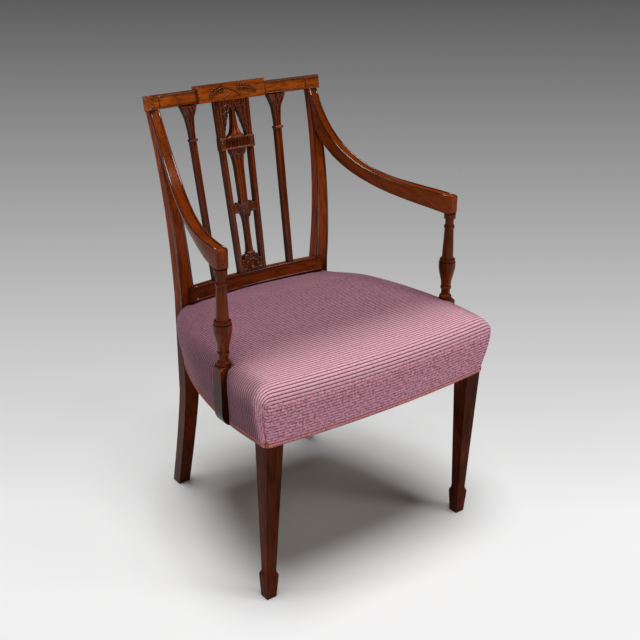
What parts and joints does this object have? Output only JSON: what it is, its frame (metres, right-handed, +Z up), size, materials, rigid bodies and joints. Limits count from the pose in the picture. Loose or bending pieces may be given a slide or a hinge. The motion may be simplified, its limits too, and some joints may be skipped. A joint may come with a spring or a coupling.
{
  "type": "open armchair",
  "caption": "Square-backed open armchair with a carved pierced splat between slender bars, swept arms on turned supports, tapered front legs on spade feet and a stuffed seat in ribbed cloth.",
  "frame": {"origin": "on the floor, under the middle of the whole chair", "axes": "+X to the right seen from the front, -Y the way the chair faces, +Z up"},
  "size_m": [0.5742, 0.5524, 0.8754],
  "materials": {
    "mahogany": "french polished, worn to a soft gloss",
    "beech": "unpolished, darkened with age",
    "steel": "dull",
    "webbing": "herringbone jute",
    "hessian": "plain weave",
    "hair": "matted curled hair",
    "cloth": "corded, with a soft sheen",
    "braid": "woven gimp"
  },
  "bodies": {
    "root": {"back_post_right": "mahogany", "front_leg_right": "mahogany", "back_bar_right": "mahogany", "arm_right": "mahogany", "arm_support_right": "mahogany", "arm_plug_right": "mahogany", "side_rail_right": "beech", "front_corner_block_right": "beech", "rear_corner_block_right": "beech", "arm_screw_right": "steel", "support_screw_1_right": "steel", "support_screw_2_right": "steel", "front_block_screw_1_right": "steel", "front_block_screw_2_right": "steel", "rear_block_screw_1_right": "steel", "rear_block_screw_2_right": "steel", "braid_side_right": "braid", "back_post_left": "mahogany", "front_leg_left": "mahogany", "back_bar_left": "mahogany", "arm_left": "mahogany", "arm_support_left": "mahogany", "arm_plug_left": "mahogany", "side_rail_left": "beech", "front_corner_block_left": "beech", "rear_corner_block_left": "beech", "arm_screw_left": "steel", "support_screw_1_left": "steel", "support_screw_2_left": "steel", "front_block_screw_1_left": "steel", "front_block_screw_2_left": "steel", "rear_block_screw_1_left": "steel", "rear_block_screw_2_left": "steel", "braid_side_left": "braid", "crest_rail": "mahogany", "stay_rail": "mahogany", "splat": "mahogany", "front_rail": "beech", "back_rail": "beech", "webbing_across_1": "webbing", "webbing_across_2": "webbing", "webbing_across_3": "webbing", "webbing_along_1": "webbing", "webbing_along_2": "webbing", "webbing_along_3": "webbing", "webbing_along_4": "webbing", "hessian": "hessian", "stuffing": "hair", "seat_cover": "cloth", "braid_front": "braid", "braid_back": "braid"}
  },
  "joints": []
}
